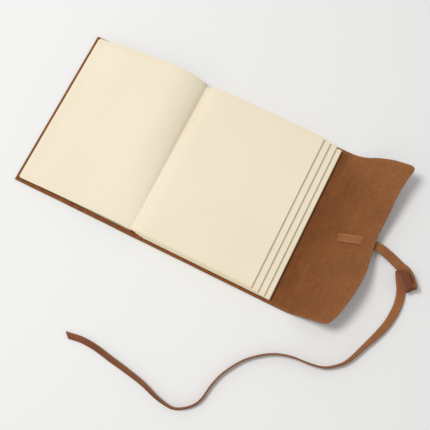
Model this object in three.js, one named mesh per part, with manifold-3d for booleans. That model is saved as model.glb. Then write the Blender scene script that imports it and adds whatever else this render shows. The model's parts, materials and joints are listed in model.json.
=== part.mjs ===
// Hand-bound sketchbook in a wrap-round leather cover, lying open near its front.
// Millimetres, +Z up. The origin is at the middle of the back cover's underside, +X runs across the
// spread towards the wrap flap, and +Y runs towards the head of the pages. The table is at z = 0.
import * as THREE from "three";
import { mergeVertices } from "three/addons/utils/BufferGeometryUtils.js";
import Module from "manifold-3d";

// ---- driving dimensions ----
const PAGE_HEIGHT = 178;
const COVER_HEIGHT = 185;
const BACK_COVER_WIDTH = 143;
const FRONT_COVER_WIDTH = 139;
const SPINE_WIDTH = 20;
const FORE_EDGE_WIDTH = 27; // leather that rises past the fore-edge when the book is wrapped
const LEATHER = 2.2; // thickness of the hide
const BOARD = 1.2;
const BOARD_MARGIN = 5;
const LAYER_GAP = 0.15; // between sheets that lie on each other
const ENDPAPER = 0.3;
const GATHERING = 2.95; // thickness of one folded gathering
const FORE_EDGES = [46, 54, 61.5, 67.5]; // x of each gathering's fore-edge, top gathering first
const SQUARE = 3.5; // leather showing beyond the pages
const FOLD_GAP = 0.2; // clearance at the hide's folds

const THONG_WIDTH = 9;
const THONG_THICKNESS = 1.6;
const THONG_TAPER_WIDTH = 7;

// ---- places that follow from them ----
const HALF_COVER = COVER_HEIGHT / 2;
const HALF_PAGE = PAGE_HEIGHT / 2;
const FORE_FOLD_X = BACK_COVER_WIDTH / 2;
const BACK_FOLD_X = -BACK_COVER_WIDTH / 2;
const FRONT_FOLD_X = BACK_FOLD_X - SPINE_WIDTH;
const FRONT_EDGE_X = FRONT_FOLD_X - FRONT_COVER_WIDTH;
const FLAP_FOLD_X = FORE_FOLD_X + FORE_EDGE_WIDTH;

const BOARD_Z = LEATHER + LAYER_GAP;
const PASTEDOWN_Z = BOARD_Z + BOARD + LAYER_GAP;
const LEAF_Z = PASTEDOWN_Z + ENDPAPER + LAYER_GAP;
const BLOCK_Z = LEAF_Z + ENDPAPER + LAYER_GAP;

// The spine turns up past these edges when the book shuts, so the flat sheets start clear of it.
const BOARD_START_X = BACK_FOLD_X + 3;
const BLOCK_START_X = BACK_FOLD_X + 6;

const hide = new THREE.MeshStandardMaterial({ color: 0x86512f, roughness: 0.9, metalness: 0 });
const thongLeather = new THREE.MeshStandardMaterial({ color: 0x8f5a35, roughness: 0.75, metalness: 0 });
const card = new THREE.MeshStandardMaterial({ color: 0xa79c88, roughness: 0.95, metalness: 0 });
const paper = new THREE.MeshStandardMaterial({ color: 0xf0e6cf, roughness: 0.95, metalness: 0 });
const cloth = new THREE.MeshStandardMaterial({ color: 0xdcd5c4, roughness: 0.95, metalness: 0 });
const thread = new THREE.MeshStandardMaterial({ color: 0xe6dcc2, roughness: 0.8, metalness: 0 });

const wasm = await Module();
wasm.setup();

const sketchbook = new THREE.Group();

function add(name, geometry, material) {
  const mesh = new THREE.Mesh(geometry, material);
  mesh.name = name;
  sketchbook.add(mesh);
}

// ---- shapes ----
function slab(x0, x1, y0, y1, z0, z1) {
  const box = new THREE.BoxGeometry(x1 - x0, y1 - y0, z1 - z0);
  return box.translate((x0 + x1) / 2, (y0 + y1) / 2, (z0 + z1) / 2);
}

function outline(points) {
  return new THREE.Shape(points.map(([x, y]) => new THREE.Vector2(x, y)));
}

// An outline of [x, z] points, carried along Y from -halfLength to halfLength.
function alongY(points, halfLength) {
  const solid = new THREE.ExtrudeGeometry(outline(points), {
    depth: 2 * halfLength,
    bevelEnabled: false,
  });
  return solid.rotateX(Math.PI / 2).translate(0, halfLength, 0);
}

// A flat-sided tube of the given width (in the route's plane) and thickness along a route of points.
function tube(points, width, thickness, steps) {
  const sides = 8;
  const section = [];
  for (let i = 0; i < sides; i++) {
    const turn = (2 * Math.PI * (i + 0.5)) / sides;
    section.push([(Math.cos(turn) * thickness) / 2, (Math.sin(turn) * width) / 2]);
  }
  const route = new THREE.CatmullRomCurve3(points.map((p) => new THREE.Vector3(...p)));
  return new THREE.ExtrudeGeometry(outline(section), { steps, extrudePath: route });
}

// ---- joining and cutting ----
function toSolid(geometry) {
  const bare = geometry.clone();
  bare.deleteAttribute("normal");
  bare.deleteAttribute("uv");
  const merged = mergeVertices(bare, 1e-4);
  return new wasm.Manifold(
    new wasm.Mesh({
      numProp: 3,
      vertProperties: merged.attributes.position.array,
      triVerts: new Uint32Array(merged.index.array),
    }),
  );
}

function toGeometry(solid) {
  const mesh = solid.getMesh();
  const geometry = new THREE.BufferGeometry();
  geometry.setAttribute("position", new THREE.BufferAttribute(mesh.vertProperties, 3));
  geometry.setIndex(new THREE.BufferAttribute(mesh.triVerts, 1));
  geometry.computeVertexNormals();
  return geometry;
}

// ---- the hide ----
// One panel of the hide between two folds or cut edges. At a fold the inner side is cut back at 45
// degrees, so that the panels close to a right angle about the middle of the leather.
function hidePanel(name, x0, foldAtX0, x1, foldAtX1) {
  const startGap = foldAtX0 ? FOLD_GAP : 0;
  const endGap = foldAtX1 ? FOLD_GAP : 0;
  const half = LEATHER / 2;
  const startBevel = foldAtX0 ? half : 0;
  const endBevel = foldAtX1 ? half : 0;
  const section = [
    [x0 + startGap, 0],
    [x1 - endGap, 0],
    [x1 - endGap, half],
    [x1 - endGap - endBevel, LEATHER],
    [x0 + startGap + startBevel, LEATHER],
    [x0 + startGap, half],
  ];
  add(name, alongY(section, HALF_COVER), hide);
}

function makeHidePanels() {
  hidePanel("front_cover_leather", FRONT_EDGE_X, false, FRONT_FOLD_X, true);
  hidePanel("spine_leather", FRONT_FOLD_X, true, BACK_FOLD_X, true);
  hidePanel("back_cover_leather", BACK_FOLD_X, true, FORE_FOLD_X, true);
  hidePanel("fore_edge_leather", FORE_FOLD_X, true, FLAP_FOLD_X, true);
}

// ---- the wrap flap ----
const FLAP_START_X = FLAP_FOLD_X + 1.3; // past the swing of the fold
const FLAP_THICKNESS = 2;
const FLAP_REACH = 42; // fold to free edge, to which the curl is scaled
const FLAP_BELLY = 7; // rise of the flap's middle off the table
const HEAD_CURL = 21;
const TAIL_CURL = 20;
const HEAD_CURL_FROM_Y = 28;
const TAIL_CURL_FROM_Y = -30;
const BELLY_REACH = 1; // share of the reach over which the belly rises
const FLAP_COLUMNS = 10;
const FLAP_ROW = 7; // spacing of the flap's rows of points
// [y, x] along the wavy free edge, tail to head, with the rounded corners at both ends
const FREE_EDGE = new THREE.SplineCurve(
  [
    [-92.5, 124],
    [-88, 131],
    [-72, 136],
    [-45, 140.5],
    [-20, 142],
    [12, 138.5],
    [40, 137],
    [70, 138.5],
    [88, 142],
    [92.5, 136],
  ].map(([y, x]) => new THREE.Vector2(y, x)),
);

function freeEdgeX(y) {
  let low = 0;
  let high = 1;
  for (let i = 0; i < 30; i++) {
    const middle = (low + high) / 2;
    if (FREE_EDGE.getPoint(middle).x < y) low = middle;
    else high = middle;
  }
  return FREE_EDGE.getPoint(low).y;
}

function flapRise(x, y) {
  const reach = THREE.MathUtils.clamp((x - FLAP_FOLD_X) / FLAP_REACH, 0, 1.1);
  const belly = FLAP_BELLY * THREE.MathUtils.smoothstep(reach, 0, BELLY_REACH);
  const curl = 1 - (1 - reach) ** 2;
  const head = HEAD_CURL * THREE.MathUtils.smoothstep(y, HEAD_CURL_FROM_Y, HALF_COVER);
  const tail = TAIL_CURL * THREE.MathUtils.smoothstep(-y, -TAIL_CURL_FROM_Y, HALF_COVER);
  return belly + curl * (head + tail);
}

// The part of the flap between two heights along the book, as a sheet that follows the curl.
function flapSheet(y0, y1) {
  const rows = Math.ceil((y1 - y0) / FLAP_ROW);
  const sheet = new THREE.BoxGeometry(1, y1 - y0, FLAP_THICKNESS, FLAP_COLUMNS, rows, 1);
  const place = sheet.attributes.position;
  for (let i = 0; i < place.count; i++) {
    const y = place.getY(i) + (y0 + y1) / 2;
    const x = THREE.MathUtils.lerp(FLAP_START_X, freeEdgeX(y), place.getX(i) + 0.5);
    const z = place.getZ(i) + LEATHER - FLAP_THICKNESS / 2 + flapRise(x, y);
    place.setXYZ(i, x, y, z);
  }
  return sheet;
}

// ---- the thong's anchor, threaded through two slits in the flap ----
const ANCHOR_X = 102.5;
const ANCHOR_Y = 1.7;
const ANCHOR_ANGLE = THREE.MathUtils.degToRad(12.5);
const TAB_LENGTH = 22;
const ANCHOR_LENGTH = 37.6; // first slit to the flap's free edge
const ANCHOR_GAP = 0.5;
const SLIT_CLEARANCE = 0.4;
const SLIT_LOW = -5; // the cut reaches from below the flap to above it
const SLIT_HIGH = 20;
const ANCHOR_STEP = 3; // spacing of the points along the anchor

function toAnchor(geometry) {
  return geometry.rotateZ(ANCHOR_ANGLE).translate(ANCHOR_X, ANCHOR_Y, 0);
}

function flapTopAt(s) {
  return LEATHER + flapRise(ANCHOR_X + s * Math.cos(ANCHOR_ANGLE), ANCHOR_Y);
}

function flapUnderAt(s) {
  return flapTopAt(s) - FLAP_THICKNESS;
}

// Points at a height given by a function, evenly spaced from s0 to s1.
function run(s0, s1, heightAt) {
  const steps = Math.max(2, Math.ceil(Math.abs(s1 - s0) / ANCHOR_STEP));
  const points = [];
  for (let i = 0; i <= steps; i++) {
    const s = THREE.MathUtils.lerp(s0, s1, i / steps);
    points.push([s, heightAt(s)]);
  }
  return points;
}

function makeAnchor() {
  const legEnd = TAB_LENGTH + THONG_THICKNESS;
  const tabUnder = (s) => flapTopAt(s) + ANCHOR_GAP;
  const tabTop = (s) => tabUnder(s) + THONG_THICKNESS;
  const runTop = (s) => flapUnderAt(s) - ANCHOR_GAP;
  const runUnder = (s) => runTop(s) - THONG_THICKNESS;
  const section = [
    [0, flapUnderAt(0) + ANCHOR_GAP],
    ...run(0, legEnd, tabTop),
    ...run(legEnd, ANCHOR_LENGTH, runTop),
    ...run(ANCHOR_LENGTH, TAB_LENGTH, runUnder),
    ...run(TAB_LENGTH, THONG_THICKNESS, tabUnder),
    [THONG_THICKNESS, flapUnderAt(THONG_THICKNESS) + ANCHOR_GAP],
  ];
  add("thong_anchor", toAnchor(alongY(section, THONG_WIDTH / 2)), thongLeather);
}

function slit(s) {
  const half = THONG_WIDTH / 2 + SLIT_CLEARANCE;
  const end = s + THONG_THICKNESS + SLIT_CLEARANCE;
  return toSolid(toAnchor(slab(s - SLIT_CLEARANCE, end, -half, half, SLIT_LOW, SLIT_HIGH)));
}

function makeFlap() {
  const middle = toSolid(flapSheet(TAIL_CURL_FROM_Y, HEAD_CURL_FROM_Y));
  const slitted = middle.subtract(slit(0)).subtract(slit(TAB_LENGTH));
  add("flap_leather", toGeometry(slitted), hide);
  add("flap_head_corner", flapSheet(HEAD_CURL_FROM_Y + FOLD_GAP, HALF_COVER), hide);
  add("flap_tail_corner", flapSheet(-HALF_COVER, TAIL_CURL_FROM_Y - FOLD_GAP), hide);
}

// ---- the free thong ----
// x, y, z of the middle of the flat strip, out from under the flap
const LEAD_ROUTE = [
  [139.9, 9.9, 5.8],
  [148, 11, 5.0],
  [157, 10, 3.5],
  [167, 7, 2.2],
  [175.8, 3.2, 1.5],
];
// x, y round the turned-over loop, as it lies
const LOOP_OUTLINE = [
  [174.6, -1.4],
  [178.4, 6.8],
  [186, 3.4],
  [193.5, -2],
  [198.5, -8.5],
  [197.5, -13.5],
  [191, -19.8],
  [182.6, -23.1],
  [178, -12],
];
const LOOP_HEIGHT = 8;
const TAIL_ROUTE = [
  [186.7, -22.2, 1.3],
  [188.8, -33, 1.3],
  [188.8, -46.5, 1.3],
  [183, -68, 1.3],
  [173.8, -88, 1.3],
  [165, -108.5, 1.3],
  [157, -118, 1.3],
  [146, -125.5, 1.3],
  [132, -128.6, 1.3],
  [112, -130.6, 1.3],
  [96, -135.6, 1.3],
  [82, -144.7, 1.3],
  [69.5, -157, 1.3],
  [58, -176, 1.3],
  [53, -192, 1.3],
  [50.5, -208, 1.3],
  [45, -218, 1.3],
  [35, -226, 1.3],
  [25, -228.5, 1.3],
  [9, -226, 1.3],
  [-9, -220.5, 1.3],
  [-29.5, -216.5, 1.3],
  [-50, -213.3, 1.3],
  [-67.5, -210.3, 1.3],
  [-84, -209.6, 1.3],
  [-100, -212, 1.3],
];
const TABLE_GAP = 0.3;

function makeThong() {
  add("thong_lead", tube(LEAD_ROUTE, THONG_WIDTH, THONG_THICKNESS, 8), thongLeather);
  const loop = new THREE.ExtrudeGeometry(outline(LOOP_OUTLINE), {
    depth: LOOP_HEIGHT - TABLE_GAP,
    bevelEnabled: false,
  });
  add("thong_loop", loop.translate(0, 0, TABLE_GAP), thongLeather);
  add("thong_tail", tube(TAIL_ROUTE, THONG_TAPER_WIDTH, THONG_THICKNESS, 70), thongLeather);
}

// ---- card and paper inside the covers ----
function makeCoverLinings() {
  const boardY = HALF_COVER - BOARD_MARGIN;
  const boardTop = BOARD_Z + BOARD;
  const pastedownTop = PASTEDOWN_Z + ENDPAPER;
  const backEnd = FORE_FOLD_X - SQUARE;
  const frontStart = FRONT_EDGE_X + SQUARE;
  const frontEnd = FRONT_FOLD_X - (BOARD_START_X - BACK_FOLD_X);
  const boards = [
    ["back_board", BOARD_START_X, FORE_FOLD_X - BOARD_MARGIN],
    ["front_board", FRONT_EDGE_X + BOARD_MARGIN, frontEnd],
  ];
  for (const [name, x0, x1] of boards) {
    add(name, slab(x0, x1, -boardY, boardY, BOARD_Z, boardTop), card);
  }
  const pastedowns = [
    ["back_pastedown", BOARD_START_X, backEnd],
    ["front_pastedown", frontStart, frontEnd],
  ];
  for (const [name, x0, x1] of pastedowns) {
    add(name, slab(x0, x1, -HALF_PAGE, HALF_PAGE, PASTEDOWN_Z, pastedownTop), paper);
  }
  const flyleafTop = LEAF_Z + ENDPAPER;
  add("back_flyleaf", slab(BLOCK_START_X, backEnd, -HALF_PAGE, HALF_PAGE, LEAF_Z, flyleafTop), paper);
}

// ---- the first leaf, on the left ----
const FIRST_LEAF = 0.8; // free endpaper and first leaf together
const LEAF_INSET = 1; // of the leaf's fore-edge from the pastedown's
const LEAF_BEND_X = -165; // where it starts to climb towards the gutter
// x, and height above the pastedown, up to the gutter and down to the sewing
const LEAF_CLIMB = [
  [-165, 0],
  [-146, 1.6],
  [-124, 6.8],
  [-108, 11.2],
  [-99, 10.2],
  [-94, 4.5],
  [-92.6, 0.2],
];
const CLIMB_STEPS = 18;

function makeFirstLeaf() {
  const top = LEAF_Z + FIRST_LEAF;
  const start = FRONT_EDGE_X + SQUARE + LEAF_INSET;
  const end = LEAF_BEND_X - FOLD_GAP;
  add("front_leaf", slab(start, end, -HALF_PAGE, HALF_PAGE, LEAF_Z, top), paper);
  const climb = new THREE.SplineCurve(LEAF_CLIMB.map(([x, z]) => new THREE.Vector2(x, z)));
  const middle = climb.getSpacedPoints(CLIMB_STEPS);
  const under = middle.map((p) => [p.x, LEAF_Z + p.y]);
  const over = middle.map((p, i) => {
    const lean = climb.getTangentAt(i / CLIMB_STEPS);
    return [p.x - lean.y * FIRST_LEAF, LEAF_Z + p.y + lean.x * FIRST_LEAF];
  });
  over[0][0] = LEAF_BEND_X;
  add("front_leaf_fold", alongY([...under, ...over.reverse()], HALF_PAGE), paper);
}

// ---- the gatherings ----
const FOLD_Z = 3.6; // top of the sewing, on which the folded backs stand
const FOLD_START_X = BACK_FOLD_X - 0.7;
const FOLD_WIDTH = 4.1;
const BEND_PULL = 1; // how far past its foot each bend is drawn level
const BEND_STEPS = 10;

// Height of the underside of a gathering on the back cover, the top gathering being number 0.
function gatheringZ(number) {
  return BLOCK_Z + (FORE_EDGES.length - 1 - number) * (GATHERING + LAYER_GAP);
}

// From the sewing straight up, then over to the level of the flat leaves.
function bend(footX, topZ) {
  const path = new THREE.CubicBezierCurve(
    new THREE.Vector2(footX, FOLD_Z),
    new THREE.Vector2(footX, topZ),
    new THREE.Vector2(footX + BEND_PULL, topZ),
    new THREE.Vector2(BLOCK_START_X - FOLD_GAP, topZ),
  );
  return path.getPoints(BEND_STEPS).map((p) => [p.x, p.y]);
}

function makeGatherings() {
  FORE_EDGES.forEach((foreEdge, number) => {
    const name = `signature_${number + 1}`;
    const z0 = gatheringZ(number);
    const z1 = z0 + GATHERING;
    add(name, slab(BLOCK_START_X, foreEdge, -HALF_PAGE, HALF_PAGE, z0, z1), paper);
    const below = FORE_EDGES.length - 1 - number;
    const right = FOLD_START_X - below * (FOLD_WIDTH + FOLD_GAP);
    const inner = bend(right, z0);
    const outer = bend(right - FOLD_WIDTH, z1);
    add(`${name}_fold`, alongY([...inner, ...outer.reverse()], HALF_PAGE), paper);
  });
}

// ---- the sewing on the spine ----
const LINING = 0.4;
const LINING_INSET = 6; // from the pages' head and tail
const SEWING_INSET = 1.6; // from the spine's folds
const TAPE = 0.3;
const TAPE_WIDTH = 12;
const TAPE_Y = 48;
const THREAD = 0.6; // diameter of the sewing thread
const PULLED_THREAD = 0.54; // height of the kettle stitches, pulled tight
const KETTLE_Y = 80;
const KETTLE_RISE = 0.2; // of a kettle stitch's middle above the underside of the tapes
const GUTTER_X = -89.7; // between the first leaf and the top gathering
const GUTTER_Z = 3.7;

function makeSewing() {
  const x0 = FRONT_FOLD_X + SEWING_INSET;
  const x1 = BACK_FOLD_X - SEWING_INSET;
  const liningY = HALF_PAGE - LINING_INSET;
  const liningZ = LEATHER + LAYER_GAP;
  const tapeZ = liningZ + LINING + LAYER_GAP;
  const tapeTop = tapeZ + TAPE;
  add("spine_lining", slab(x0, x1, -liningY, liningY, liningZ, liningZ + LINING), cloth);
  const tapes = [
    ["sewing_tape_head", TAPE_Y],
    ["sewing_tape_middle", 0],
    ["sewing_tape_tail", -TAPE_Y],
  ];
  for (const [name, y] of tapes) {
    add(name, slab(x0, x1, y - TAPE_WIDTH / 2, y + TAPE_WIDTH / 2, tapeZ, tapeTop), cloth);
  }
  const kettles = [
    ["kettle_stitch_head", KETTLE_Y],
    ["kettle_stitch_tail", -KETTLE_Y],
  ];
  for (const [name, y] of kettles) {
    const z = tapeZ + KETTLE_RISE;
    const route = [
      [x0, y, z],
      [(x0 + x1) / 2, y, z],
      [x1, y, z],
    ];
    add(name, tube(route, THREAD, PULLED_THREAD, 4), thread);
  }
  const gutter = [
    [GUTTER_X, -KETTLE_Y, GUTTER_Z],
    [GUTTER_X, 0, GUTTER_Z],
    [GUTTER_X, KETTLE_Y, GUTTER_Z],
  ];
  add("gutter_thread", tube(gutter, THREAD, THREAD, 4), thread);
}

makeHidePanels();
makeFlap();
makeAnchor();
makeThong();
makeCoverLinings();
makeFirstLeaf();
makeGatherings();
makeSewing();

export default sketchbook;
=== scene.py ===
"""A hand-bound sketchbook with a wrap-round leather cover and a tying thong, lying open near its front.

Places are in millimetres in the part's frame: x across the spread towards the wrap flap, y towards the
head of the pages, z up from the table. They become metres where a mesh is made.
"""
import json
import math

import bpy
import numpy as np
from mathutils import Matrix, Vector, noise

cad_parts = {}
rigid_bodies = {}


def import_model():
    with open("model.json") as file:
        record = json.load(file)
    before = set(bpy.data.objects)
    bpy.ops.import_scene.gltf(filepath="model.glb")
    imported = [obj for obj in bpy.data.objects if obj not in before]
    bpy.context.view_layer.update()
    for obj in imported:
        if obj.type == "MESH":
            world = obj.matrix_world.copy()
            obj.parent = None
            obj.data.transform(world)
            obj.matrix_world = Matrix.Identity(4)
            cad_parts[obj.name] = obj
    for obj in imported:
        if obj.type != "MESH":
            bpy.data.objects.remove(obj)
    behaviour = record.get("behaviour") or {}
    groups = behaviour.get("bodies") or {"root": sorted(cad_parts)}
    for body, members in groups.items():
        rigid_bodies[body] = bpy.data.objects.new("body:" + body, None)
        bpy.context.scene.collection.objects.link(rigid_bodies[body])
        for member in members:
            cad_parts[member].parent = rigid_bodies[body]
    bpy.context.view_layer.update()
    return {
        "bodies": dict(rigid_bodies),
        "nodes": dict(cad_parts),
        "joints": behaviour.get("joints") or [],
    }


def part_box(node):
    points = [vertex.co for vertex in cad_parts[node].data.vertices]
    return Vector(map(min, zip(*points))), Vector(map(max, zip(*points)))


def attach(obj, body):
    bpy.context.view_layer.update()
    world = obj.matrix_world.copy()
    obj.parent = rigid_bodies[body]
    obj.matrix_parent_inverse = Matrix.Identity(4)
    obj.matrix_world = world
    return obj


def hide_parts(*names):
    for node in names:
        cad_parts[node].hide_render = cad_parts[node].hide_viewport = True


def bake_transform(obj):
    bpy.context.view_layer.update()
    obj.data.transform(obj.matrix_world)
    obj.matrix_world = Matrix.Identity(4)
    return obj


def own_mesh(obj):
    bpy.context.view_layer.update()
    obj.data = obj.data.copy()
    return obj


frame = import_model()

MM = 0.001


def box(node):
    """Lowest and highest corner of a CAD node, in millimetres."""
    low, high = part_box(node)
    return low / MM, high / MM


fold_x = {j["name"]: j["pos_m"][0] / MM for j in frame["joints"] if j["type"] == "hinge"}
FRONT_FOLD_X = fold_x["front_cover_fold"]
BACK_FOLD_X = fold_x["spine_fold"]
FORE_FOLD_X = fold_x["fore_edge_fold"]
FLAP_FOLD_X = fold_x["flap_fold"]
FRONT_EDGE_X = box("front_cover_leather")[0].x
HALF_COVER = box("front_cover_leather")[1].y
LEATHER = box("back_cover_leather")[1].z
HALF_PAGE = box("signature_4")[1].y
LEAF_Z = box("front_leaf")[0].z


# ---- curves and noise ----
def smooth(value, low, high):
    """0 below low, 1 above high, and an S-curve between them."""
    t = np.clip((np.asarray(value, float) - low) / (high - low), 0, 1)
    return t * t * (3 - 2 * t)


def waves(points, size, seed=0.0):
    """Smooth noise from -1 to 1 at each point, with features of the given size in millimetres."""
    flat = np.asarray(points, float).reshape(-1, 3) / size + seed
    values = [noise.noise(Vector(p)) for p in flat]
    return np.array(values).reshape(np.asarray(points).shape[:-1])


def spline(points, spacing):
    """Points a given distance apart on a smooth curve through rows of numbers, x y z first."""
    rows = np.asarray(points, float)
    rows = np.vstack([2 * rows[0] - rows[1], rows, 2 * rows[-1] - rows[-2]])
    t = np.linspace(0, 1, 24, endpoint=False)[:, None]
    fine = []
    for a, b, c, d in zip(rows, rows[1:], rows[2:], rows[3:]):
        cubic = 3 * b - a - 3 * c + d
        square = 2 * a - 5 * b + 4 * c - d
        fine.append(b + 0.5 * t * (c - a + t * (square + t * cubic)))
    fine = np.vstack([*fine, rows[-2:-1]])
    length = np.r_[0, np.cumsum(np.linalg.norm(np.diff(fine[:, :3], axis=0), axis=1))]
    at = np.linspace(0, length[-1], max(2, round(length[-1] / spacing) + 1))
    return np.stack([np.interp(at, length, column) for column in fine.T], axis=1)


# ---- meshes ----
def make_object(name, points, faces, kinds, materials, wear=None, wear_and_painted_light=None, sharp=None):
    """A mesh piece from points in millimetres. kinds is each face's index in materials.

    wear and rubbed are a number from 0 to 1 at each point, for the materials: wear for worn and toned
    places, rubbed for painted light and shade. Edges that turn by more than sharp degrees are shaded
    sharp.
    """
    mesh = bpy.data.meshes.new(name)
    metres = np.asarray(points, float) * MM
    mesh.from_pydata(metres.tolist(), [], [list(face) for face in faces])
    mesh.polygons.foreach_set("material_index", np.asarray(kinds, np.int32))
    mesh.shade_smooth()
    if sharp is not None:
        mesh.set_sharp_from_angle(angle=math.radians(sharp))
    rest = mesh.attributes.new("rest", "FLOAT_VECTOR", "POINT")
    rest.data.foreach_set("vector", metres.astype(np.float32).ravel())
    for label, values in (("wear", wear), ("wear_and_painted_light", wear_and_painted_light)):
        if values is not None:
            attribute = mesh.attributes.new(label, "FLOAT", "POINT")
            attribute.data.foreach_set("value", np.asarray(values, np.float32).ravel())
    for material in materials:
        mesh.materials.append(material)
    piece = bpy.data.objects.new(name, mesh)
    bpy.context.scene.collection.objects.link(piece)
    return piece


def sheet_faces(rows, columns):
    """Faces of a closed sheet: its upper grid of points, its under grid, and the wall between them."""
    count = rows * columns
    index = np.arange(count).reshape(rows, columns)
    corners = [index[:-1, :-1], index[1:, :-1], index[1:, 1:], index[:-1, 1:]]
    upper = np.stack(corners, axis=-1).reshape(-1, 4)
    under = upper[:, ::-1] + count
    sides = [index[:-1, 0], index[-1, :-1], index[:0:-1, -1], index[0, :0:-1]]
    loop = np.concatenate(sides)
    after = np.roll(loop, -1)
    wall = np.stack([loop + count, after + count, after, loop], axis=-1)
    return upper, under, wall


RIM = np.array([0.15, 0.4, 0.8])  # extra stations inside a cut edge, which round it


def stations(low, high, step, cut_low=False, cut_high=False):
    """Places from low to high about a step apart, and more of them near an end that is a cut edge."""
    inner = np.linspace(low, high, max(2, round((high - low) / step) + 1))
    extra = [inner]
    if cut_low:
        extra.append(low + RIM)
    if cut_high:
        extra.append(high - RIM)
    return np.unique(np.round(np.concatenate(extra), 4))


SUEDE, GRAIN, CUT = 0, 1, 2  # places in a leather piece's list of materials
CUT_BAND = 0.3  # faces this near a cut edge show the cut
WORN_BAND = 5.0  # the hide is worn paler this far in from a cut edge
PAINTED_LIGHT_FULL_X = 150.0  # painted light and shade: the hide is painted paler more and more from the fore-edge's fold, in the page block's shade, to here
HEAD_CORNER_Y = (45, 95)  # at the head the painted light also starts, and is full, at these places
HEAD_CORNER_X = 82.0  # and sets in between the fore-edge's fold and here


def painted_flap_light(points):
    """Painted light and shade: how far the hide is painted paler, towards the flap's free edge and its
    head corner.
    """
    x = points[..., 0]
    to_free_edge = smooth(x, FORE_FOLD_X, PAINTED_LIGHT_FULL_X)
    to_head = smooth(points[..., 1], *HEAD_CORNER_Y) * smooth(x, FORE_FOLD_X, HEAD_CORNER_X)
    return 1 - (1 - to_free_edge) * (1 - to_head)


def hide_sheet(name, middle, from_edge):
    """A piece of the hide about a grid of middle points. from_edge is their distance to a cut edge."""
    rows, columns = from_edge.shape
    in_rim = np.clip(from_edge / RIM[-1], 0, 1)
    half = LEATHER / 2 * (0.35 + 0.65 * np.sqrt(1 - (1 - in_rim) ** 2))
    lift = np.zeros_like(middle)
    lift[..., 2] = half
    points = np.concatenate([(middle + lift).reshape(-1, 3), (middle - lift).reshape(-1, 3)])
    upper, under, wall = sheet_faces(rows, columns)
    near = (from_edge < CUT_BAND).ravel()
    top_kind = np.where(near[upper].any(axis=1), CUT, SUEDE)
    under_kind = np.where(near[under - rows * columns].any(axis=1), CUT, GRAIN)
    kinds = np.concatenate([top_kind, under_kind, np.full(len(wall), CUT)])
    wear = np.tile(1 - smooth(from_edge, 0, WORN_BAND).ravel(), 2)
    # painted light and shade: the flap paler where it rises towards the light, darker by the page block
    wear_and_painted_light = np.tile(painted_flap_light(middle).ravel(), 2)
    faces = np.concatenate([upper, under, wall])
    return make_object(name, points, faces, kinds, HIDE, wear, wear_and_painted_light, sharp=60)


# ---- materials ----
def srgb(red, green, blue):
    """Linear colour from one given as 0 to 255."""
    share = np.array([red, green, blue]) / 255
    linear = np.where(share <= 0.04045, share / 12.92, ((share + 0.055) / 1.055) ** 2.4)
    return (*linear.tolist(), 1.0)


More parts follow.
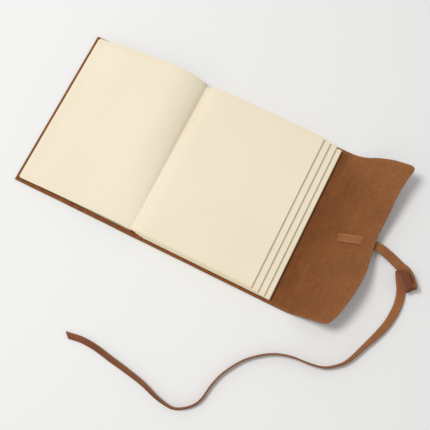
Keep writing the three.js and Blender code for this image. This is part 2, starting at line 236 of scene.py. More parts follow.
class Finish:
    """A material under construction: its nodes, and one Principled shader.

    The pattern of a piece made here follows the piece's resting place, which is kept in its mesh, so it
    doesn't slide when a joint moves. moving=False is for CAD nodes and the table, which don't hold it.
    """

    def __init__(self, name, roughness, moving=True, **settings):
        self.material = bpy.data.materials.new(name)
        self.material.use_nodes = True
        self.tree = self.material.node_tree
        self.shader = self.tree.nodes["Principled BSDF"]
        self.shader.inputs["Roughness"].default_value = roughness
        for socket, value in settings.items():
            self.shader.inputs[socket.replace("_", " ")].default_value = value
        if moving:
            source = self.tree.nodes.new("ShaderNodeAttribute")
            source.attribute_name = "rest"
            self.place = source.outputs["Vector"]
        else:
            source = self.tree.nodes.new("ShaderNodeTexCoord")
            self.place = source.outputs["Object"]

    def node(self, kind, settings, **links):
        """Add a node. A link is an input, by name or as i and its number, and its value or source."""
        made = self.tree.nodes.new(kind)
        for name, value in settings.items():
            setattr(made, name, value)
        for socket, value in links.items():
            target = made.inputs[int(socket[1:])] if socket[0] == "i" else made.inputs[socket]
            if isinstance(value, bpy.types.NodeSocket):
                self.tree.links.new(value, target)
            else:
                target.default_value = value
        return made

    def stretched(self, scale, turn=0.0):
        """The place with its axes scaled, for a noise that is longer one way. turn is in degrees."""
        settings = {"vector_type": "POINT"}
        turned = (0.0, 0.0, math.radians(turn))
        made = self.node("ShaderNodeMapping", settings, Vector=self.place, Rotation=turned, Scale=scale)
        return made.outputs["Vector"]

    def noise(self, per_metre, detail=3.0, rough=0.55, place=None):
        place = self.place if place is None else place
        made = self.node(
            "ShaderNodeTexNoise", {}, Vector=place, Scale=per_metre, Detail=detail, Roughness=rough
        )
        return made.outputs["Fac"]

    def cells(self, per_metre):
        """Irregular cells: each place's distance to the border of its cell."""
        settings = {"feature": "DISTANCE_TO_EDGE"}
        made = self.node("ShaderNodeTexVoronoi", settings, Vector=self.place, Scale=per_metre)
        return made.outputs["Distance"]

    def bands(self, per_metre, direction, distortion=0.0):
        made = self.node(
            "ShaderNodeTexWave",
            {"bands_direction": direction},
            Vector=self.place,
            Scale=per_metre,
            Distortion=distortion,
        )
        return made.outputs["Fac"]

    def attribute(self, name):
        return self.node("ShaderNodeAttribute", {"attribute_name": name}).outputs["Fac"]

    def remap(self, value, low, high, to_low=0.0, to_high=1.0):
        made = self.node("ShaderNodeMapRange", {}, i0=value, i1=low, i2=high, i3=to_low, i4=to_high)
        return made.outputs[0]

    def maths(self, operation, first, second):
        return self.node("ShaderNodeMath", {"operation": operation}, i0=first, i1=second).outputs[0]

    def mix(self, share, first, second, blend="MIX"):
        settings = {"data_type": "RGBA", "blend_type": blend}
        return self.node("ShaderNodeMix", settings, i0=share, i6=first, i7=second).outputs[2]

    def bump(self, height, depth_mm, normal=None):
        made = self.node("ShaderNodeBump", {}, Height=height, Strength=1.0, Distance=depth_mm * MM)
        if normal is not None:
            self.tree.links.new(normal, made.inputs["Normal"])
        return made.outputs["Normal"]

    def finish(self, colour, normal=None, roughness=None):
        self.tree.links.new(colour, self.shader.inputs["Base Color"])
        if normal is not None:
            self.tree.links.new(normal, self.shader.inputs["Normal"])
        if roughness is not None:
            self.tree.links.new(roughness, self.shader.inputs["Roughness"])
        return self.material


PAINTED_LIGHT_SHARE = 0.34  # how far the leather with the most painted light goes towards its painted light colour


def suede(name, dark, middle, light, painted_light_colour):
    """The flesh side of leather: brushed nap, cloudy colour, long strokes, and painted light that makes
    it paler.
    """
    f = Finish(name, 0.95, Sheen_Weight=0.05, Sheen_Roughness=0.6, Specular_IOR_Level=0.25)
    clouds = f.remap(f.noise(30, 6, 0.68), 0.28, 0.72)
    colour = f.mix(clouds, dark, middle)
    # painted light and shade: paler where the flap is lit, darker by the page block
    colour = f.mix(f.maths("MULTIPLY", f.attribute("wear_and_painted_light"), PAINTED_LIGHT_SHARE), colour, painted_light_colour)
    strokes = f.noise(1, 5, 0.65, f.stretched((210, 16, 60), turn=3))
    colour = f.mix(f.remap(strokes, 0.5, 0.75, 0, 0.35), colour, light)
    mottle = f.remap(f.noise(380, 4, 0.7), 0.35, 0.65, 0, 0.42)
    colour = f.mix(mottle, colour, dark)
    nap = f.noise(900, 5, 0.75)
    colour = f.mix(f.remap(nap, 0.3, 0.7, 0.3, 0), colour, dark, "MULTIPLY")
    worn = f.maths("MULTIPLY", f.attribute("wear"), f.remap(f.noise(160, 3), 0.35, 0.65))
    colour = f.mix(f.maths("MULTIPLY", worn, 0.45), colour, light)
    fibres = f.bump(nap, 0.25)
    return f.finish(colour, f.bump(f.noise(70, 4, 0.6), 0.5, fibres), f.remap(nap, 0.3, 0.7, 0.88, 1.0))


def grain(name, dark, light):
    """The outer side of leather: fine pebbled grain with creases, a dull polish and worn edges."""
    f = Finish(name, 0.6, Specular_IOR_Level=0.25)
    clouds = f.remap(f.noise(26, 5, 0.6), 0.3, 0.7)
    colour = f.mix(clouds, dark, light)
    pebbles = f.remap(f.cells(900), 0.0, 0.25)
    colour = f.mix(f.remap(pebbles, 0, 1, 0.35, 0), colour, dark, "MULTIPLY")
    wear_and_painted_light = f.maths("MULTIPLY", f.attribute("wear"), f.remap(f.noise(120, 3), 0.3, 0.7))
    colour = f.mix(f.maths("MULTIPLY", wear_and_painted_light, 0.5), colour, light)
    creased = f.bump(f.remap(f.cells(140), 0, 0.12), 0.08)
    polish = f.remap(f.noise(45, 3), 0.3, 0.7, 0.5, 0.72)
    return f.finish(colour, f.bump(pebbles, 0.12, creased), polish)


def cut_leather(name, dark, light):
    """The raw cut edge of the hide, with its layered fibres."""
    f = Finish(name, 0.92)
    layers = f.noise(1, 4, 0.7, f.stretched((500, 500, 3000)))
    colour = f.mix(f.remap(layers, 0.35, 0.65), dark, light)
    return f.finish(colour, f.bump(layers, 0.2))


def sketch_paper(name, middle, shade, moving=True):
    """Uncoated cream paper: a fine felt tooth, scattered fibres and a little toning at the edges."""
    f = Finish(name, 0.93, moving=moving, Sheen_Weight=0.03)
    felt = f.noise(1300, 4, 0.65)
    colour = f.mix(f.remap(f.noise(11, 4, 0.55), 0.3, 0.7, 0, 0.35), middle, shade)
    fibres = f.noise(1, 3, 0.7, f.stretched((2600, 420, 900), turn=35))
    colour = f.mix(f.remap(fibres, 0.6, 0.8, 0, 0.3), colour, shade)
    if moving:
        toned = f.remap(f.attribute("wear"), 0, 1, 0, 0.35)
        colour = f.mix(toned, colour, shade)
    return f.finish(colour, f.bump(felt, 0.05))


def leaf_edges(name, middle, shade):
    """Trimmed leaf edges: many thin leaves, which the knife left slightly uneven."""
    f = Finish(name, 0.95)
    leaves = f.noise(1, 2, 0.5, f.stretched((35, 35, 5200)))
    colour = f.mix(f.remap(leaves, 0.4, 0.62), middle, shade)
    return f.finish(colour, f.bump(leaves, 0.12))


def grey_card(name, middle, fleck):
    """Pulp card, flecked with fibres."""
    f = Finish(name, 0.95, moving=False)
    flecks = f.noise(900, 3, 0.8)
    return f.finish(f.mix(f.remap(flecks, 0.5, 0.72), middle, fleck), f.bump(flecks, 0.08))


def woven(name, middle, shade, per_metre):
    """Plain cloth, with its threads along and across."""
    f = Finish(name, 0.95, moving=False)
    across = f.bands(per_metre, "X")
    along = f.bands(per_metre, "Y")
    weave = f.maths("MULTIPLY", across, along)
    return f.finish(f.mix(weave, shade, middle), f.bump(weave, 0.12))


def waxed_thread(name, middle, shade):
    """Twisted linen thread."""
    f = Finish(name, 0.6, moving=False)
    twist = f.bands(900, "DIAGONAL", 1.5)
    return f.finish(f.mix(twist, shade, middle), f.bump(twist, 0.1))


# the last colour is the paler one that painted light on the flap goes towards
hide_flesh = suede(
    "hide_flesh_side", srgb(112, 65, 31), srgb(146, 89, 45), srgb(170, 112, 64), srgb(192, 130, 82)
)
hide_grain = grain("hide_grain_side", srgb(104, 59, 33), srgb(140, 85, 52))
hide_cut = cut_leather("hide_cut_edge", srgb(112, 68, 40), srgb(150, 100, 64))
thong_flesh = suede(
    "thong_flesh_side", srgb(148, 94, 54), srgb(168, 111, 67), srgb(180, 126, 82), srgb(192, 130, 82)
)
thong_grain = grain("thong_grain_side", srgb(116, 66, 40), srgb(150, 92, 61))
page_paper = sketch_paper("page_paper", srgb(238, 227, 205), srgb(230, 216, 187))
# the edges' colours are lighter and warmer than the page paper's: painted bounce light on the fore-edge
# faces, which lie in shade
page_edges = leaf_edges("page_edges", srgb(255, 243, 214), srgb(243, 224, 184))
HIDE = [hide_flesh, hide_grain, hide_cut]
THONG = [thong_flesh, thong_grain, hide_cut]
PAPER = [page_paper, page_edges]


# ---- camera ----
CAMERA_TARGET = Vector((-23.5, -33.0, 0.0))
CAMERA_DISTANCE = 865.6
CAMERA_AZIMUTH = math.radians(-28.98)
CAMERA_ELEVATION = math.radians(75.44)
CAMERA_ROLL = math.radians(-2.45)
CAMERA_SHIFT = (0.00305, -0.00072)
LENS = 68.94


def make_camera():
    ahead = Vector((math.sin(CAMERA_AZIMUTH), math.cos(CAMERA_AZIMUTH), 0))
    across = Vector((math.cos(CAMERA_AZIMUTH), -math.sin(CAMERA_AZIMUTH), 0))
    up_z = Vector((0, 0, 1))
    forward = ahead * math.cos(CAMERA_ELEVATION) - up_z * math.sin(CAMERA_ELEVATION)
    above = ahead * math.sin(CAMERA_ELEVATION) + up_z * math.cos(CAMERA_ELEVATION)
    right = across * math.cos(CAMERA_ROLL) + above * math.sin(CAMERA_ROLL)
    up = above * math.cos(CAMERA_ROLL) - across * math.sin(CAMERA_ROLL)
    lens = bpy.data.cameras.new("camera")
    lens.lens = LENS
    lens.shift_x, lens.shift_y = CAMERA_SHIFT
    lens.clip_start = 0.05
    lens.clip_end = 20
    camera = bpy.data.objects.new("camera", lens)
    place = (CAMERA_TARGET - forward * CAMERA_DISTANCE) * MM
    turn = Matrix((right, up, -forward)).transposed().to_4x4()
    camera.matrix_world = Matrix.Translation(place) @ turn
    bpy.context.scene.collection.objects.link(camera)
    bpy.context.scene.camera = camera


make_camera()

# ---- straps ----
STRAP_THICKNESS = 1.6
STRAP_WAVE = 0.12  # how far its surface rises and falls
RING_SPACING = 1.5
SLANT_REACH = 10.0  # how far back from a slanted end the slant starts
# places across and through a strap, as shares of its width and thickness, round its section
STRAP_SECTION = np.array(
    [
        [-0.44, -0.5], [-0.22, -0.5], [0.0, -0.48], [0.22, -0.5], [0.44, -0.5],
        [0.5, -0.28], [0.5, 0.28],
        [0.44, 0.5], [0.22, 0.5], [0.0, 0.46], [-0.22, 0.5], [-0.44, 0.5],
        [-0.5, 0.28], [-0.5, -0.28],
    ]
)
STRAP_KINDS = [GRAIN] * 4 + [CUT] * 3 + [SUEDE] * 4 + [CUT] * 3


def tube_faces(count, sides):
    """Faces of a closed tube of rings of points, and of its two ends."""
    ring = np.arange(sides)
    base = (np.arange(count - 1) * sides)[:, None]
    turn = np.roll(ring, -1)
    walls = np.stack([base + ring, base + turn, base + sides + turn, base + sides + ring], axis=-1)
    return [*walls.reshape(-1, 4).tolist(), ring[::-1].tolist(), (ring + (count - 1) * sides).tolist()]


def strap(name, rows, materials, slant=0.0):
    """A flat strap along rows of x, y, z, width, azimuth of its width, and tilt of its width.

    The flesh side faces up where the width's azimuth is a quarter turn left of the way the strap goes.
    slant is how far the far end is cut askew. Returns the piece and the middles of its rings.
    """
    along = spline(rows, RING_SPACING)
    centre = along[:, :3]
    width = along[:, 3]
    azimuth = np.radians(along[:, 4])
    tilt = np.radians(along[:, 5])
    ahead = np.gradient(centre, axis=0)
    ahead /= np.linalg.norm(ahead, axis=1)[:, None]
    level = np.cos(tilt)
    side = np.stack([np.cos(azimuth) * level, np.sin(azimuth) * level, np.sin(tilt)], axis=1)
    side -= ahead * (side * ahead).sum(axis=1)[:, None]
    side /= np.linalg.norm(side, axis=1)[:, None]
    face = np.cross(ahead, side)
    across = STRAP_SECTION[:, 0][None, :] * width[:, None]
    rings = (
        centre[:, None, :]
        + side[:, None, :] * across[..., None]
        + face[:, None, :] * (STRAP_SECTION[:, 1] * STRAP_THICKNESS)[None, :, None]
    )
    if slant:
        from_end = np.arange(len(centre))[::-1] * RING_SPACING
        askew = slant * (1 - smooth(from_end, 0, SLANT_REACH))
        rings += ahead[:, None, :] * (STRAP_SECTION[:, 0][None, :] * askew[:, None])[..., None]
    rings[..., 2] += STRAP_WAVE * waves(rings, 9, 4.2)
    count = len(rings)
    faces = tube_faces(count, len(STRAP_SECTION))
    kinds = STRAP_KINDS * (count - 1) + [CUT, CUT]
    wear = np.tile(np.abs(STRAP_SECTION[:, 0]) > 0.4, count)
    piece = make_object(name, rings.reshape(-1, 3), faces, kinds, materials, wear, sharp=50)
    return piece, centre


# ---- the tying thong ----
TABLE_GAP = 0.25  # between the thong and the table
# x, y, z, width, azimuth and tilt of the width: out from under the flap, then turned over twice
THONG_LOOP = [
    (140.5, 9.3, 10.2, 9.5, 97, 0),
    (148.6, 9.2, 8.3, 9.6, 86, 0),
    (156.4, 8.0, 5.1, 9.8, 76, 0),
    (164.2, 6.2, 2.5, 10.0, 68, 0),
    (172.4, 3.2, 1.9, 10.2, 59, 8),
    (180.6, 0.2, 3.9, 10.4, 52, 36),
    (188.2, -3.6, 5.5, 10.6, 45, 76),
    (192.8, -9.5, 6.2, 10.6, 42, 76),
    (193.6, -15.6, 8.2, 10.8, 45, 38),
    (190.0, -16.4, 11.4, 10.8, 52, 6),
    (184.5, -12.7, 12.2, 10.6, 45, -4),
    (180.2, -7.6, 11.4, 10.6, 38, -4),
    (177.2, -3.7, 9.4, 10.6, 33, 0),
    (175.3, -2.6, 6.2, 10.4, 29, 0),
    (176.6, -5.6, 3.8, 9.9, 25, 0),
    (179.7, -11.3, 2.5, 9.6, 24, 0),
    (183.4, -18.2, 1.7, 9.3, 22, 3),
]
# x, y, width, tilt of the width: along the table, turning over onto the grain side on the way
THONG_TAIL = [
    (185.9, -26.6, 8.9, 12),
    (187.0, -36, 8.7, 20),
    (186.6, -47, 8.6, 26),
    (184.8, -58, 8.4, 32),
    (181.4, -69, 8.2, 40),
    (173.8, -88, 7.6, 56),
    (165, -108.5, 7.2, 70),
    (157, -118, 7.0, 76),
    (146, -125.5, 7.0, 79),
    (132, -128.6, 7.0, 80),
    (112, -130.6, 7.0, 81),
    (96, -135.6, 6.9, 82),
    (82, -144.7, 6.9, 83),
    (69.5, -157, 6.8, 84),
    (58, -176, 6.8, 86),
    (53, -192, 6.7, 90),
    (50.5, -208, 6.7, 94),
    (45, -218, 6.7, 97),
    (35, -226, 6.6, 101),
    (25, -228.5, 6.6, 107),
    (9, -226, 6.6, 119),
    (-9, -220.5, 6.6, 132),
    (-29.5, -216.5, 6.6, 144),
    (-50, -213.3, 6.6, 152),
    (-67.5, -210.3, 6.6, 159),
    (-84, -209.6, 6.6, 165),
    (-100, -212, 6.6, 170),
]


def make_thong():
    rows = list(THONG_LOOP)
    places = np.array([station[:2] for station in THONG_TAIL], float)
    heading = np.degrees(np.unwrap(np.arctan2(*np.gradient(places, axis=0).T[::-1])))
    for (x, y, width, tilt), ahead in zip(THONG_TAIL, heading):
        lean = math.radians(tilt)
        half = 0.5 * (width * abs(math.sin(lean)) + STRAP_THICKNESS * abs(math.cos(lean)))
        rows.append((x, y, TABLE_GAP + half, width, ahead + 90, tilt))
    piece, centre = strap("tie_thong", rows, THONG, slant=5.0)
    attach(piece, "flap")
    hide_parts("thong_lead", "thong_loop", "thong_tail")


make_thong()


# ---- the hide ----
SURFACE_WAVE = 0.06  # how far the hide's surface rises and falls
EDGE_WANDER = 0.35  # how far its cut sides wander from straight


def uneven(points):
    """The hide's own slight unevenness, the same wherever two of its pieces meet."""
    moved = points.copy()
    moved[..., 2] += SURFACE_WAVE * (1 + waves(points, 31, 1.7))
    at_side = smooth(np.abs(points[..., 1]), HALF_COVER - 25, HALF_COVER)
    along_side = points * np.array([1, 0, 0]) + np.sign(points[..., 1:2]) * np.array([0, 40, 0])
    moved[..., 1] += EDGE_WANDER * at_side * waves(along_side, 37, 8.1)
    return moved


def fold_stations(low, high, fold, cut_low):
    """Stations between two places, close together about the fold between them."""
    close = fold + np.linspace(-5, 5, 13)
    close = close[(close > low) & (close < high)]
    return np.union1d(stations(low, high, 4.5, cut_low), close)


def hide_panel(name, x0, x1, fold, nodes, cut_low=False):
    """A panel of the hide across a fold between two bodies, with stations close together about the
    fold.
    """
    xs = fold_stations(x0, x1, fold, cut_low)
    ys = stations(-HALF_COVER, HALF_COVER, 5, cut_low=True, cut_high=True)
    grid_x, grid_y = np.meshgrid(xs, ys, indexing="ij")
    middle = np.stack([grid_x, grid_y, np.full_like(grid_x, LEATHER / 2)], axis=-1)
    from_edge = HALF_COVER - np.abs(grid_y)
    if cut_low:
        from_edge = np.minimum(from_edge, grid_x - x0)
    piece = hide_sheet(name, uneven(middle), from_edge)
    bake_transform(piece)
    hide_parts(*nodes)


MID_BACK_X = 40.0  # where the two pieces of the back cover meet, out of sight under the pages
CURL_START_X = 78.0  # where the strip past the fore-edge starts to follow the flap's curl
SEAM_LAP = 0.5  # how far two pieces of the hide reach into each other, so that no slit shows
BEAD_SUNK = 0.3  # how far the bead in the flap's fold lies under the open hide's surface


def make_hide_panels():
    mid_spine = (FRONT_FOLD_X + BACK_FOLD_X) / 2
    hide_panel(
        "cover_hide_front", FRONT_EDGE_X, mid_spine, FRONT_FOLD_X,
        ["front_cover_leather"], cut_low=True,
    )
    hide_panel(
        "cover_hide_spine", mid_spine, MID_BACK_X, BACK_FOLD_X,
        ["spine_leather"],
    )
    hide_panel(
        "cover_hide_back", MID_BACK_X, CURL_START_X, FORE_FOLD_X,
        ["back_cover_leather"],
    )


# ---- the wrap flap ----
# x, and how far the leather stands off its flat level there: in the middle, and then how much more
# along the curled head edge and the curled tail edge
BELLY_RISE = [
    (78, 0), (90, 0), (96, 0.6), (102, 2.0), (108, 4.0), (114, 6.4), (120, 8.9), (128, 11.8), (136, 14),
    (143, 15),
]
HEAD_RISE = [
    (78, 0), (84, 0.7), (90, 2.7), (97, 5.7), (104.5, 9.1), (110, 10.7), (116, 11.5), (125, 12.0),
    (143, 12.5),
]
TAIL_RISE = [
    (78, 0), (88, 0.8), (97, 3.5), (106, 7.2), (113, 9.8), (121, 11.8), (128, 12.2), (143, 12.6),
]
# x, and how far the head corner's leather spreads past the cover's head
HEAD_SPREAD = [(78, 0), (86, 0.15), (97, 1.4), (104.5, 3.0), (116, 4.7), (125, 5.4), (143, 5.8)]
HEAD_SPREAD_FROM_Y = 40
TAIL_DRAWN_IN = 0.2  # how far the tail edge draws in, as a share of its rise
HEAD_CURL_Y = (10, 74)  # the head's curl starts and is full at these places along the book
TAIL_CURL_Y = (4, -56)
# y, x along the wavy free edge, tail to head
FREE_EDGE = [
    (-92.5, 123), (-91, 128), (-87, 132), (-72, 137.3), (-45, 142), (-20, 143), (12, 139.5),
    (40, 139.6), (60, 139.4), (75, 141), (86, 143.4), (90.5, 143.2), (92.5, 139.4),
]


def free_edge_x(y):
    """Where the flap ends, at places along the book."""
    along = spline([(b, a, 0) for a, b in FREE_EDGE], 0.25)
    return np.interp(y, along[:, 1], along[:, 0])


def rise_along(table, x):
    """A smooth reading, at x, of a table of x and rise."""
    fine = spline([(a, b, 0) for a, b in table], 1.0)
    return np.interp(x, fine[:, 0], fine[:, 1])


def flap_rise(x, y):
    """How far the hide past the fore-edge rises: in its middle and head, and in its tail corner."""
    belly = rise_along(BELLY_RISE, x)
    head = rise_along(HEAD_RISE, x) * smooth(y, *HEAD_CURL_Y)
    tail = rise_along(TAIL_RISE, x) * (1 - smooth(y, *TAIL_CURL_Y[::-1]))
    return belly + head, tail


def curled(flat):
    """Flat places of the hide past the fore-edge, moved to where the curl puts them."""
    head, tail = flap_rise(flat[..., 0], flat[..., 1])
    moved = uneven(flat)
    at_head = smooth(flat[..., 1], HEAD_SPREAD_FROM_Y, HALF_COVER)
    moved[..., 1] += TAIL_DRAWN_IN * tail
    moved[..., 1] += at_head * rise_along(HEAD_SPREAD, flat[..., 0])
    moved[..., 2] += head + tail
    return moved


def flatten_when_shut(piece):
    """Gives a piece past the fore-edge a mesh of its own."""
    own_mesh(piece)


def make_fore_edge_strip():
    xs = stations(CURL_START_X, FLAP_FOLD_X + SEAM_LAP, 1.4)
    ys = stations(-HALF_COVER, HALF_COVER, 1.7, cut_low=True, cut_high=True)
    grid_x, grid_y = np.meshgrid(xs, ys, indexing="ij")
    flat = np.stack([grid_x, grid_y, np.full_like(grid_x, LEATHER / 2)], axis=-1)
    from_edge = HALF_COVER - np.abs(grid_y)
    piece = hide_sheet("cover_hide_fore_edge", curled(flat), from_edge)
    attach(piece, "fore_edge")
    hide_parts("fore_edge_leather")
    flatten_when_shut(piece)


def make_flap():
    ys = stations(-HALF_COVER, HALF_COVER, 1.7, cut_low=True, cut_high=True)
    edge = free_edge_x(ys)
    start = FLAP_FOLD_X - SEAM_LAP
    widest = edge.max() - start
    xs = stations(0, widest, 1.5, cut_high=True) / widest
    share, grid_y = np.meshgrid(xs, ys, indexing="ij")
    grid_x = start + share * (edge - start)[None, :]
    flat = np.stack([grid_x, grid_y, np.full_like(grid_x, LEATHER / 2)], axis=-1)
    from_edge = np.minimum(HALF_COVER - np.abs(grid_y), (1 - share) * widest)
    piece = hide_sheet("flap_hide", curled(flat), from_edge)
    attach(piece, "flap")
    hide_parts("flap_leather", "flap_head_corner", "flap_tail_corner")
    flatten_when_shut(piece)


def make_fold_bead():
    """The round of leather at the flap's fold, which shows on the outside when the flap is shut."""
    ys = np.linspace(-HALF_COVER + 1, HALF_COVER - 1, 110)
    flat = np.stack([np.full_like(ys, FLAP_FOLD_X), ys, np.full_like(ys, LEATHER / 2)], axis=-1)
    centre = curled(flat)
    turns = np.linspace(0, 2 * math.pi, 12, endpoint=False)
    radius = LEATHER / 2 - BEAD_SUNK
    round_it = np.stack([np.cos(turns), np.zeros(len(turns)), np.sin(turns)], axis=-1) * radius
    rings = centre[:, None, :] + round_it[None, :, :]
    faces = tube_faces(len(ys), len(turns))
    kinds = [GRAIN] * len(faces)
    piece = make_object("flap_fold_bead", rings.reshape(-1, 3), faces, kinds, HIDE)
    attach(piece, "fore_edge")
    flatten_when_shut(piece)


# ---- the thong's tab, threaded through two slits in the flap ----
TAB_X = 102.5
TAB_Y = 1.7
TAB_AZIMUTH = 12.5
TAB_WIDTH = 9.4
# distance along the tab, and height of its middle off the hide's middle
TAB_ROUTE = [
    (0.9, -1.2), (1.0, 0.6), (1.9, 2.0), (4.5, 2.25), (9, 2.15), (14, 2.2), (20, 2.15), (24.4, 1.9),
    (25.7, 0.5), (26.0, -0.9), (27.4, -2.3), (29, -2.55), (33, -2.5), (37.6, -2.5),
]


def make_tab():
    """The thong's start: up through one slit, along the hide's inside, and down through the other."""
    turn = math.radians(TAB_AZIMUTH)
    rows = []
    for s, height in TAB_ROUTE:
        x = TAB_X + s * math.cos(turn)
        y = TAB_Y + s * math.sin(turn)
        z = LEATHER / 2 + float(sum(flap_rise(x, y))) + height
        rows.append((x, y, z, TAB_WIDTH, TAB_AZIMUTH + 90, 0.0))
    piece, _ = strap("thong_tab", rows, THONG)
    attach(piece, "flap")
    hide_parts("thong_anchor")
    flatten_when_shut(piece)


make_hide_panels()
make_fore_edge_strip()
make_flap()
make_fold_bead()
make_tab()


# ---- leaves of paper ----
PAGE, EDGE = 0, 1  # places in a paper piece's list of materials
TONED_BAND = 9.0  # the pages are toned this far in from their head and tail


def closed_sheet(top, bottom):
    """Points, faces and face kinds of one sheet between its upper and its under grid of points."""
    upper, under, wall = sheet_faces(*top.shape[:2])
    points = np.concatenate([top.reshape(-1, 3), bottom.reshape(-1, 3)])
    faces = np.concatenate([upper, under, wall])
    kinds = np.concatenate([np.full(len(upper) + len(under), PAGE), np.full(len(wall), EDGE)])
    return points, faces, kinds


def leaf(profile, ys, thickness, shape=None):
    """Points, faces and face kinds of one sheet whose middle follows a profile of x, z, along y."""
    profile = np.asarray(profile, float)
    ahead = np.gradient(profile, axis=0)
    ahead /= np.linalg.norm(ahead, axis=1)[:, None]
    up = np.stack([-ahead[:, 1], ahead[:, 0]], axis=1) * thickness / 2
    grids = []
    for side in (1, -1):
        line = profile + side * up
        grid = np.stack(
            [
                np.repeat(line[:, :1], len(ys), axis=1),
                np.tile(ys, (len(line), 1)),
                np.repeat(line[:, 1:], len(ys), axis=1),
            ],
            axis=-1,
        )
        grids.append(grid if shape is None else shape(grid))
    return closed_sheet(*grids)


def stack(name, leaves, materials):
    """One piece made of many leaves."""
    points = []
    faces = []
    kinds = []
    count = 0
    for leaf_points, leaf_faces, leaf_kinds in leaves:
        points.append(leaf_points)
        faces.append(leaf_faces + count)
        kinds.append(leaf_kinds)
        count += len(leaf_points)
    points = np.concatenate(points)
    wear = 1 - smooth(HALF_PAGE - np.abs(points[:, 1]), 0, TONED_BAND)
    faces = np.concatenate(faces)
    return make_object(name, points, faces, np.concatenate(kinds), materials, wear, sharp=40)


# ---- the first leaf, on the left ----
RISE_Y = (-HALF_PAGE - 40, 72)  # the two places along the book that LEAF_RISE is for
# x, and how far the leaf stands off the board there, at those two places
LEAF_RISE = [
    (-226, 0.0, 0.0), (-214, 0.2, 1.6), (-200, 0.5, 7.4), (-190, 0.7, 10.6), (-180, 1.0, 12.2),
    (-168, 1.4, 14.2), (-150, 2.2, 18.0), (-137, 3.0, 20.6), (-125, 3.6, 21.8), (-117, 4.0, 21.4),
    (-110, 4.3, 19.6), (-104, 4.5, 17.2), (-99, 4.4, 14.2), (-96, 4.1, 11.9), (-93.8, 3.7, 9.2),
    (-92.5, 3.3, 6.8), (-92.0, 2.9, 5.2), (-91.8, 2.0, 3.4), (-91.8, 0.4, 0.4),
]
# x, and how far the leaf's tail edge lies in from the trimmed line
LEAF_TAIL_INSET = [(-226, 0), (-176, 0.9), (-121, 1.4), (-104, 1.35), (-91, 0.9)]
LEAF_THICKNESS = 0.25
LEAF_PITCH = 0.3
LEAF_FOOT = 0.2  # height of the lowest leaf's middle over the cover's endpaper
LEAF_WAVE = 0.3  # how far the leaves rise and fall away from their fore-edge
LEAVES_ON_LEFT = 3
# how far each leaf differs from the one above it: at its tail, its head and its fore-edge, and in its
# share of the rise
TAIL_STEP, HEAD_STEP, FORE_EDGE_STEP, RISE_STEP = 0.5, 0.7, 0.4, 0.02


def leaf_rise(rows, ys):
    """How far the leaf stands off the board, for rows of LEAF_RISE and places along the book."""
    towards_head = smooth(ys, *RISE_Y)[None, :]
    tail = rows[:, 1:2]
    head = rows[:, 2:3]
    return tail + (head - tail) * towards_head


def make_left_leaf():
    """A few bunched leaves, humped near the gutter, and more so towards the head."""
    fine = spline(LEAF_RISE, 1.5)
    profile = np.stack([fine[:, 0], np.zeros(len(fine))], axis=1)
    leaves = []
    for number in range(LEAVES_ON_LEFT):
        above = LEAVES_ON_LEFT - 1 - number
        ys = np.linspace(-HALF_PAGE + TAIL_STEP * above, HALF_PAGE + HEAD_STEP * number, 61)
        height = (1 - RISE_STEP * above) * leaf_rise(fine, ys)
        base = LEAF_Z + LEAF_FOOT + LEAF_PITCH * number
        start = fine[0, 0] + FORE_EDGE_STEP * number

        def settle(grid, height=height, base=base, start=start):
            moved = grid.copy()
            at_tail = smooth(-grid[..., 1], -60, HALF_PAGE)
            moved[..., 1] += at_tail * rise_along(LEAF_TAIL_INSET, grid[..., 0])
            moved[..., 0] = np.maximum(moved[..., 0], start)
            moved[..., 2] += base + height
            moved[..., 2] += LEAF_WAVE * smooth(grid[..., 0], -200, -150) * waves(grid, 55, 2.2)
            return moved

        leaves.append(leaf(profile, ys, LEAF_THICKNESS, settle))
    piece = stack("left_leaf", leaves, PAPER)
    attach(piece, "first_leaf")
    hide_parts("front_leaf", "front_leaf_fold")
    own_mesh(piece)


# ---- the gatherings ----
# x, z of each gathering's middle, from its foot on the sewing up and over to the flat leaves
FOLD_LINES = [
    [
        (-85.7, 5.05), (-86.5, 6.4), (-88.5, 8.1), (-88.3, 9.8), (-86.9, 11.4), (-84.2, 13.3),
        (-80, 14.7), (-74, 15.3), (-62, 15.4),
    ],
    [
        (-82.6, 5.05), (-82.9, 6.4), (-84.6, 8.0), (-84.4, 9.2), (-82.6, 10.6), (-79, 11.8),
        (-74, 12.2), (-62, 12.3),
    ],
    [(-79.5, 5.05), (-79.6, 6.2), (-80.8, 7.3), (-80.4, 8.1), (-77.6, 8.9), (-73, 9.2), (-62, 9.2)],
    [(-76.4, 5.05), (-76.4, 5.7), (-75.2, 6.05), (-71, 6.1), (-62, 6.1)],
]
FOLD_TOP_Z = [6.3, 6.3, 6.2, 5.5]  # where the folds on the sewing end and the turned leaves start
HEAD_SHIFT = [1.4, 0.6, 0.1, -0.3]  # the gatherings aren't quite level with each other
SHOULDER_X = [-79.0, -77.5, -75.5, -73.5]  # where the leaves have turned over and lie flat
SHEETS = 3  # folded sheets in a gathering
SHEET = 0.48  # thickness of one
SHEET_PITCH = 0.49
SEAM_X = -50.0  # where the leaves part from the turn over the folds
TRIM_UNEVEN = 0.5  # how far the leaves differ at the fore-edge
PAGE_WAVE = 0.12  # how far the pages rise and fall


def spine_line(number):
    """Middle of a gathering from its foot to the seam, as x, z, and the index where its fold ends."""
    low, high = box(f"signature_{number + 1}")
    flat_z = (low.z + high.z) / 2
    knots = [(x, z, 0) for x, z in FOLD_LINES[number]]
    line = spline([*knots, (SEAM_X, flat_z, 0)], 0.9)[:, :2]
    return line, int(np.argmax(line[:, 1] > FOLD_TOP_Z[number]))


def offset(line, distance):
    """A line of x, z moved to its left by a distance."""
    ahead = np.gradient(line, axis=0)
    ahead /= np.linalg.norm(ahead, axis=1)[:, None]
    return line + distance * np.stack([-ahead[:, 1], ahead[:, 0]], axis=1)


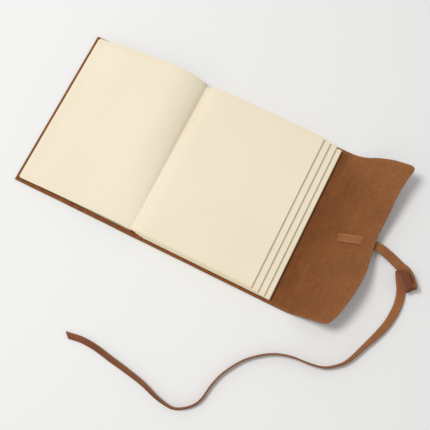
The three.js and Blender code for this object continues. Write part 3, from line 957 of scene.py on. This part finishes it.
def folded(line, distance):
    """A folded sheet: down one side of the line, round its foot, and up the other side."""
    outer = offset(line, distance)
    inner = offset(line, -distance)
    turn = np.radians(np.linspace(180, 360, 9)[1:-1])
    foot = line[0] + distance * np.stack([np.cos(turn), np.sin(turn)], axis=1)
    return np.vstack([outer[::-1], foot, inner])


def make_gathering(number):
    """One gathering in four pieces: folds on the sewing, rising leaves, the turn, and flat leaves."""
    line, split = spine_line(number)
    low, high = box(f"signature_{number + 1}")
    ys = np.linspace(-HALF_PAGE, HALF_PAGE, 31)
    distances = [(SHEETS - 0.5 - sheet) * SHEET_PITCH for sheet in range(SHEETS)]
    sides = distances + [-distance for distance in distances]
    tag = f"{number + 1}"

    def settle(grid):
        moved = grid.copy()
        moved[..., 1] += HEAD_SHIFT[number]
        moved[..., 2] += PAGE_WAVE * waves(grid * np.array([1, 1, 0]), 70, 3.1 + number)
        return moved

    folds = [leaf(folded(line[: split + 1], d), ys, SHEET, settle) for d in distances]
    fold = stack(f"gathering_fold_{tag}", folds, PAPER)
    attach(fold, "spine")

    shoulder = int(np.argmax(line[:, 0] > SHOULDER_X[number]))
    rising = [leaf(offset(line, d)[split : shoulder + 1], ys, SHEET, settle) for d in sides]
    rise = stack(f"gathering_rise_{tag}", rising, PAPER)
    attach(rise, "spine")
    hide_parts(f"signature_{tag}_fold")
    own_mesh(rise)

    turned = [leaf(offset(line, d)[shoulder:], ys, SHEET, settle) for d in sides]
    turn = stack(f"gathering_turn_{tag}", turned, PAPER)
    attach(turn, "back")
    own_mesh(turn)

    flat_z = line[-1, 1]
    leaves = []
    for d in sides:
        end = high.x + TRIM_UNEVEN * noise.noise(Vector((number, 10 * d, 0.5)))
        profile = [(x, flat_z + d) for x in np.linspace(SEAM_X, end, 40)]
        leaves.append(leaf(profile, ys, SHEET, settle))
    pages = stack(f"gathering_leaves_{tag}", leaves, PAPER)
    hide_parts(f"signature_{tag}")
    body = f"gathering_{tag}"
    if body in frame["bodies"]:
        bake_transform(pages)
    else:
        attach(pages, "back")


GUARD_THICKNESS = 0.15
GUARD_Y = (-HALF_PAGE + 1.5, HALF_PAGE + 0.8)
GUARD_ON_LEAF_X = (-95.5, -92.3)  # the guard lies on this stretch of the left leaf
GUARD_ON_BLOCK_Z = (10.2, 13.0)  # and on this stretch of the block's shoulder
GUARD_END_X = -84.0  # but no further than this
GUARD_OVER_LEAF = 1.15  # its height there over the bottom of the bunched leaves
GUARD_SUNK = 0.45  # how far the guard's edge goes into the first leaf of the block, which hides it


def make_guard():
    """The narrow paper guard that joins the left leaf to the first gathering along the gutter."""
    ys = np.linspace(*GUARD_Y, 61)
    fine = spline(LEAF_RISE, 0.3)
    on_leaf = fine[(fine[:, 0] > GUARD_ON_LEAF_X[0]) & (fine[:, 0] < GUARD_ON_LEAF_X[1])]
    leaf_x = np.repeat(on_leaf[:, :1], len(ys), axis=1)
    leaf_z = LEAF_Z + GUARD_OVER_LEAF + leaf_rise(on_leaf, ys)
    line, _ = spine_line(0)
    outer = offset(line, SHEETS * SHEET_PITCH + 0.1)
    outer = outer[outer[:, 0] < GUARD_END_X]
    on_block = outer[(outer[:, 1] > GUARD_ON_BLOCK_Z[0]) & (outer[:, 1] < GUARD_ON_BLOCK_Z[1])]
    sunk = np.linspace(0, GUARD_SUNK, len(on_block))
    block_x = np.repeat(on_block[:, :1], len(ys), axis=1)
    block_z = np.repeat(on_block[:, 1:] - sunk[:, None], len(ys), axis=1)
    grid = np.stack([np.concatenate([leaf_x, block_x]), np.concatenate([leaf_z, block_z])], axis=-1)
    for _ in range(6):  # rounds that ease the bend between the two stretches
        grid[1:-1] = (grid[:-2] + 2 * grid[1:-1] + grid[2:]) / 4
    middle = np.stack([grid[..., 0], np.repeat(ys[None, :], len(grid), axis=0), grid[..., 1]], axis=-1)
    half = np.array([0, 0, GUARD_THICKNESS / 2])
    piece = make_object("gutter_guard", *closed_sheet(middle + half, middle - half), PAPER)
    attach(piece, "spine")
    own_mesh(piece)


def make_pastedown():
    """The endpaper pasted inside the front cover, cut a little short at its tail."""
    low, high = box("front_pastedown")
    short = 1.3
    profile = [(x, (low.z + high.z) / 2) for x in np.linspace(low.x, high.x, 40)]
    ys = np.linspace(low.y + short, high.y, 41)
    piece = stack("front_endpaper", [leaf(profile, ys, high.z - low.z)], PAPER)
    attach(piece, "front")
    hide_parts("front_pastedown")


make_left_leaf()
make_pastedown()
make_guard()
for gathering in range(len(FOLD_LINES)):
    make_gathering(gathering)


# ---- finishes of the pieces that the CAD already shapes ----
def finish_cad_nodes():
    paper = sketch_paper("endpaper", srgb(238, 226, 200), srgb(226, 209, 175), moving=False)
    card = grey_card("grey_board", srgb(150, 142, 128), srgb(105, 98, 86))
    lining = woven("spine_mull", srgb(226, 219, 202), srgb(172, 162, 140), 1300)
    tape = woven("sewing_tape", srgb(236, 230, 214), srgb(188, 178, 156), 800)
    thread = waxed_thread("sewing_thread", srgb(232, 220, 192), srgb(178, 160, 124))
    finishes = {
        "pastedown": paper, "flyleaf": paper, "board": card, "lining": lining, "tape": tape,
        "stitch": thread, "thread": thread,
    }
    for name, node in frame["nodes"].items():
        for word, material in finishes.items():
            if word in name:
                node.data.materials.clear()
                node.data.materials.append(material)


finish_cad_nodes()


# ---- table and light ----
TABLE_HALF = 4.0  # metres
TABLE_Z = -0.0002  # metres: just under the object, so that no two faces lie at one level


def make_table():
    surface = Finish("table_top", 0.75, moving=False)
    tint = surface.noise(3, 2)
    material = surface.finish(surface.mix(tint, srgb(233, 233, 232), srgb(238, 238, 237)))
    mesh = bpy.data.meshes.new("table_top")
    corners = [(-1, -1), (1, -1), (1, 1), (-1, 1)]
    places = [(x * TABLE_HALF, y * TABLE_HALF, TABLE_Z) for x, y in corners]
    mesh.from_pydata(places, [], [(0, 1, 2, 3)])
    mesh.materials.append(material)
    table = bpy.data.objects.new("table_top", mesh)
    bpy.context.scene.collection.objects.link(table)


def area_light(name, place, size, power):
    """A round soft light that points at the origin. place and size are in metres."""
    data = bpy.data.lights.new(name, "AREA")
    data.shape = "DISK"
    data.size = size
    data.energy = power
    light = bpy.data.objects.new(name, data)
    light.location = place
    light.rotation_euler = (-Vector(place)).to_track_quat("-Z", "Y").to_euler()
    bpy.context.scene.collection.objects.link(light)


def make_light():
    world = bpy.data.worlds.new("studio")
    world.use_nodes = True
    background = world.node_tree.nodes["Background"]
    background.inputs["Color"].default_value = (1.0, 0.992, 0.98, 1.0)
    background.inputs["Strength"].default_value = 0.52
    bpy.context.scene.world = world
    area_light("key_light", place=(-0.86, -0.20, 1.95), size=0.7, power=25.0)
    bpy.context.scene.view_settings.view_transform = "Standard"


make_table()
make_light()
